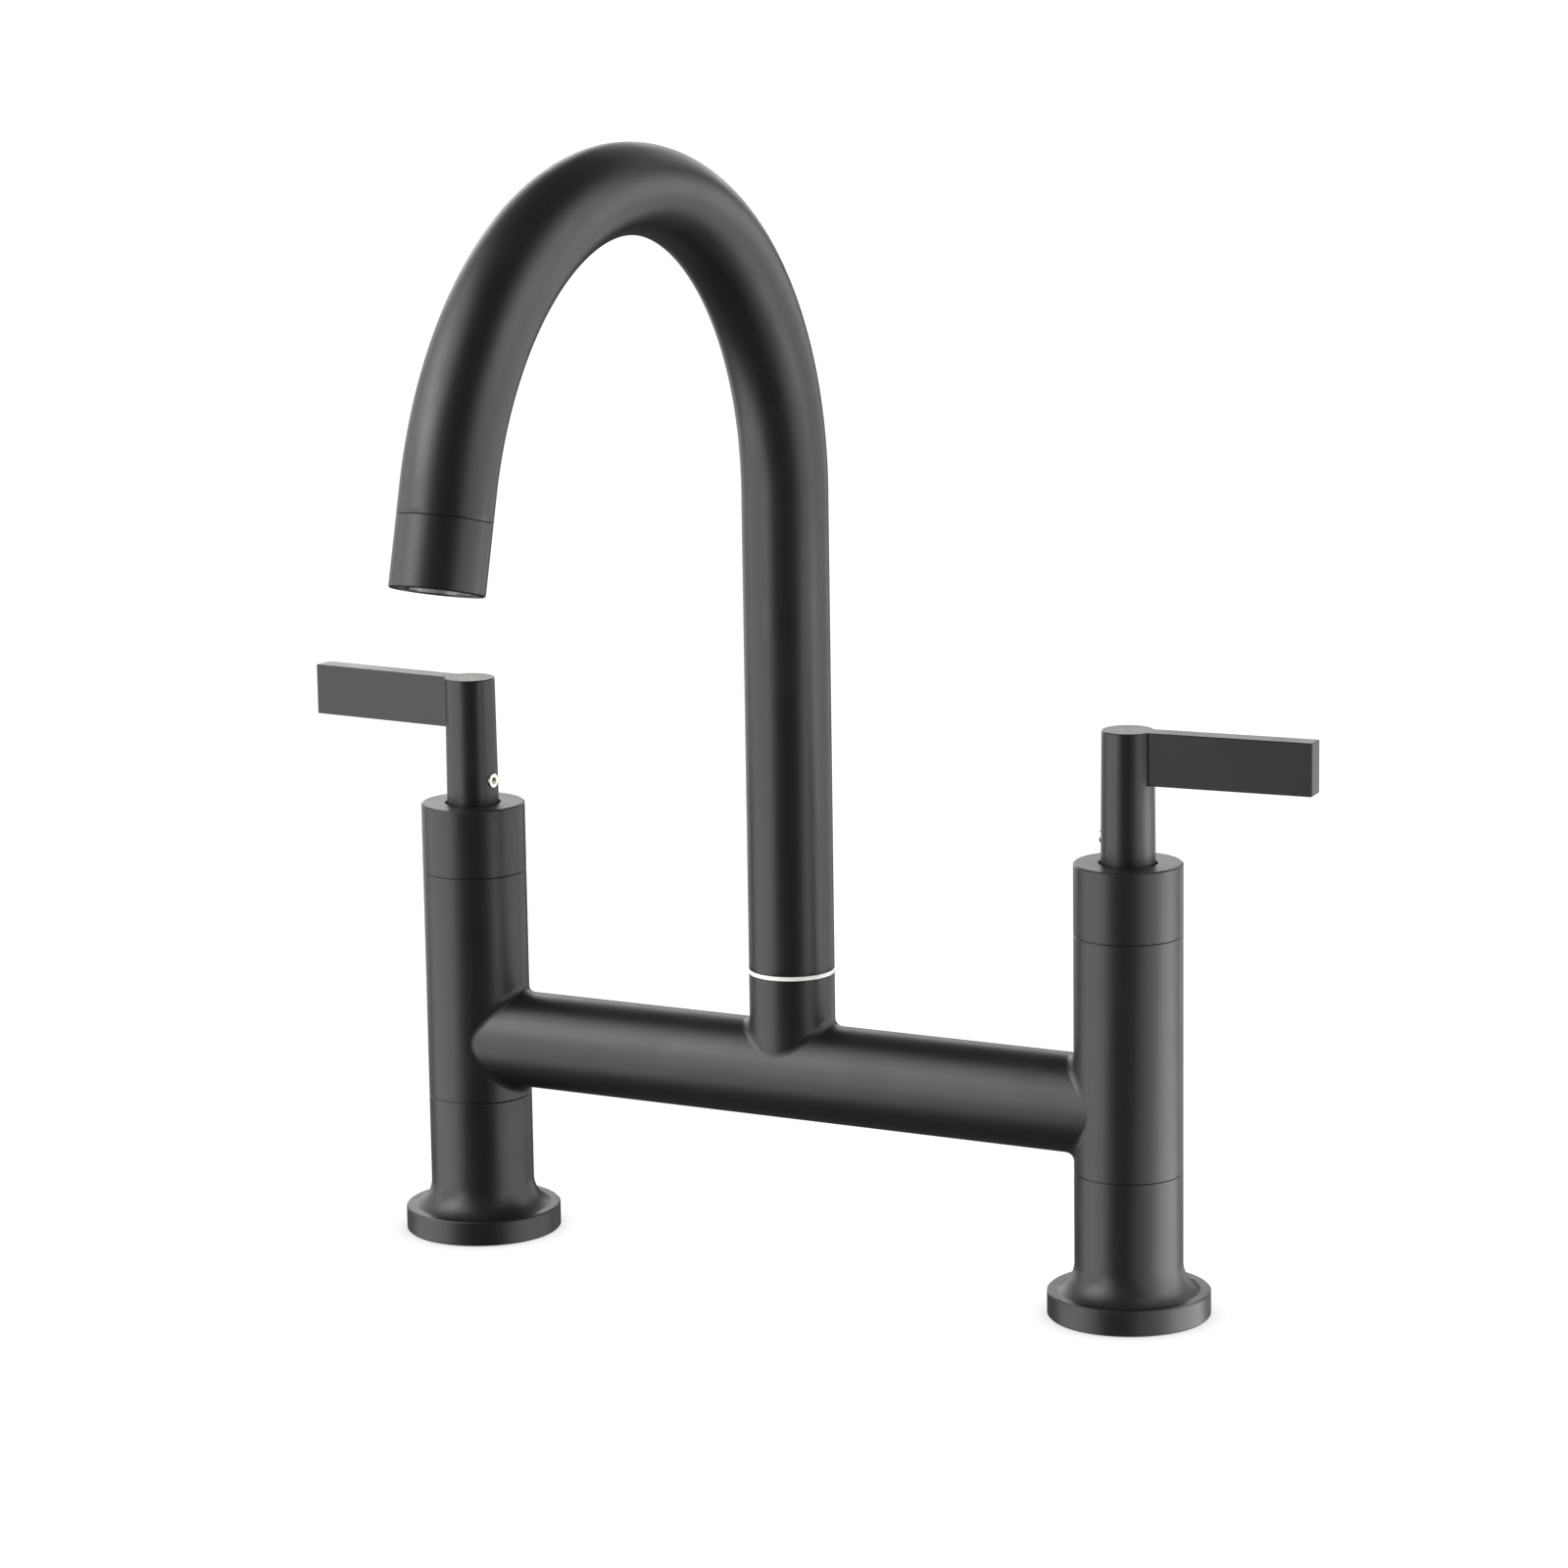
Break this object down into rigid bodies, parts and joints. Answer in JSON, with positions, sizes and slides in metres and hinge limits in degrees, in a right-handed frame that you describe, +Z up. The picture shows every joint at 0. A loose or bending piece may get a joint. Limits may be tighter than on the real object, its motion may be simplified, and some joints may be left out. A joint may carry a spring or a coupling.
{
  "type": "bridge kitchen faucet",
  "caption": "Deck-mounted bridge kitchen faucet in matte black, with flanged columns, blade levers and a high swivel gooseneck spout.",
  "frame": {"origin": "on the deck plane, midway between the axes of the two columns", "axes": "+X from the left (hot) column to the right (cold) column, the spout points to -Y at rest, +Z up"},
  "size_m": [0.3072, 0.2136, 0.3192],
  "materials": {
    "black_coating": "fine matte black powder-like coating on brass",
    "lever_coating": "matte black coating on cast zinc, slightly greyer than the body",
    "white_plastic": "plain white acetal",
    "grey_plastic": "moulded grey plastic",
    "brass": "turned brass",
    "steel": "bright stainless steel",
    "chrome": "bright chrome plate",
    "ceramic": "lapped white alumina",
    "black_rubber": "plain black sealing rubber"
  },
  "bodies": {
    "faucet": {"bridge_body": "black_coating", "spout_glide_ring": "white_plastic", "spout_grub_screw": "steel", "left_base_collar": "black_coating", "left_base_gasket": "black_rubber", "left_inlet_nipple": "brass", "left_nipple_oring": "black_rubber", "left_collar_oring": "black_rubber", "left_supply_tube": "brass", "left_seat_seal": "black_rubber", "left_fixed_disc": "ceramic", "left_cartridge_body": "brass", "left_thrust_washer": "white_plastic", "left_retaining_nut": "brass", "left_sleeve": "black_coating", "right_base_collar": "black_coating", "right_base_gasket": "black_rubber", "right_inlet_nipple": "brass", "right_nipple_oring": "black_rubber", "right_collar_oring": "black_rubber", "right_supply_tube": "brass", "right_seat_seal": "black_rubber", "right_fixed_disc": "ceramic", "right_cartridge_body": "brass", "right_thrust_washer": "white_plastic", "right_retaining_nut": "brass", "right_sleeve": "black_coating"},
    "left_handle": {"left_moving_disc": "ceramic", "left_spindle": "brass", "left_spindle_orings": "black_rubber", "left_circlip": "steel", "left_spline_adapter": "brass", "left_lever": "lever_coating", "left_set_screw": "steel"},
    "right_handle": {"right_moving_disc": "ceramic", "right_spindle": "brass", "right_spindle_orings": "black_rubber", "right_circlip": "steel", "right_spline_adapter": "brass", "right_lever": "lever_coating", "right_set_screw": "steel"},
    "spout": {"spout_tube": "black_coating", "spout_spigot": "brass", "spout_orings": "black_rubber", "spout_tip": "black_coating", "spout_tip_oring": "black_rubber", "aerator_housing": "chrome", "aerator_screen": "grey_plastic", "aerator_core": "grey_plastic", "aerator_gasket": "black_rubber"}
  },
  "joints": [
    {"name": "left_lever_turn", "type": "hinge", "parent": "faucet", "child": "left_handle", "pos_m": [-0.1016, 0, 0.12465], "axis": [0, 0, 1], "range_deg": [0, 90]},
    {"name": "right_lever_turn", "type": "hinge", "parent": "faucet", "child": "right_handle", "pos_m": [0.1016, 0, 0.12465], "axis": [0, 0, 1], "range_deg": [-90, 0]},
    {"name": "spout_swivel", "type": "hinge", "parent": "faucet", "child": "spout", "pos_m": [0, 0, 0.08505], "axis": [0, 0, 1], "continuous": true}
  ]
}
